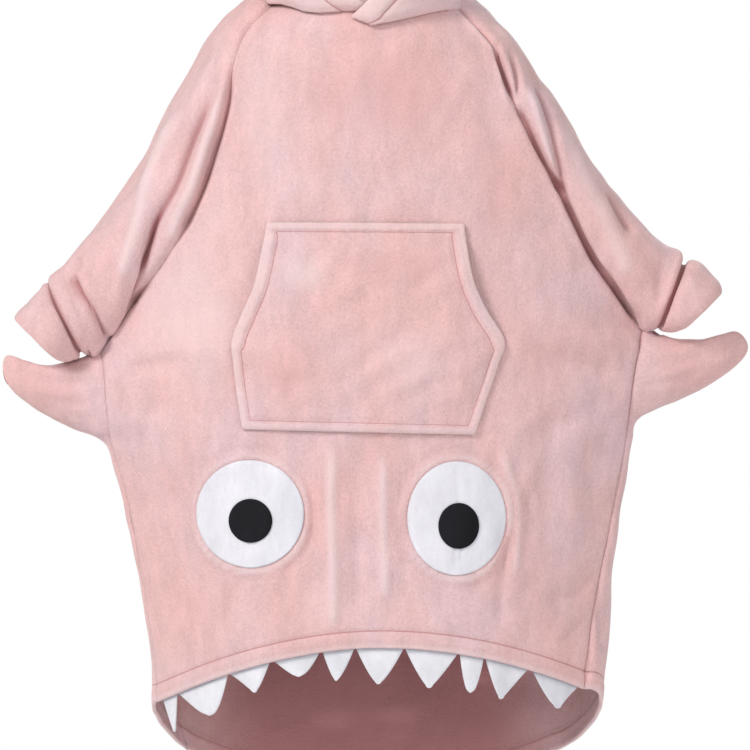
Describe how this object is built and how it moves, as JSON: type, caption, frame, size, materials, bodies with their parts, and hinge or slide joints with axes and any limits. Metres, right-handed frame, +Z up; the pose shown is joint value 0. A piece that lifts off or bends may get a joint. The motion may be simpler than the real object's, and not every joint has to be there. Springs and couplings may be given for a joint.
{
  "type": "wearable blanket hoodie",
  "caption": "Oversize plush fleece pullover blanket with hood, raglan sleeves, gathered cuffs, front pocket, round felt eyes and a felt tooth fringe under a high front hem.",
  "frame": {"origin": "between the wearer's shoulders at the foot of the neck, where the wearer holds the garment up", "axes": "+Z up along the wearer's spine, the wearer faces -Y, +X is the viewer's right"},
  "size_m": [1.115, 0.336, 1.5312],
  "materials": {
    "fleece": "dusty pink plush fleece with a soft mottled nap",
    "white_plush": "short white plush",
    "white_felt": "matt white felt",
    "black_felt": "matt black felt"
  },
  "bodies": {
    "root": {"front_panel": "fleece", "back_panel": "fleece", "sleeve_left": "fleece", "sleeve_right": "fleece", "cuff_left": "fleece", "cuff_right": "fleece", "hood_left": "fleece", "hood_right": "fleece", "pocket": "fleece", "eye_white_left": "white_plush", "eye_white_right": "white_plush", "pupil_left": "black_felt", "pupil_right": "black_felt", "tooth_01": "white_felt", "tooth_02": "white_felt", "tooth_03": "white_felt", "tooth_04": "white_felt", "tooth_05": "white_felt", "tooth_06": "white_felt", "tooth_07": "white_felt", "tooth_08": "white_felt", "tooth_09": "white_felt", "tooth_10": "white_felt"}
  },
  "joints": []
}
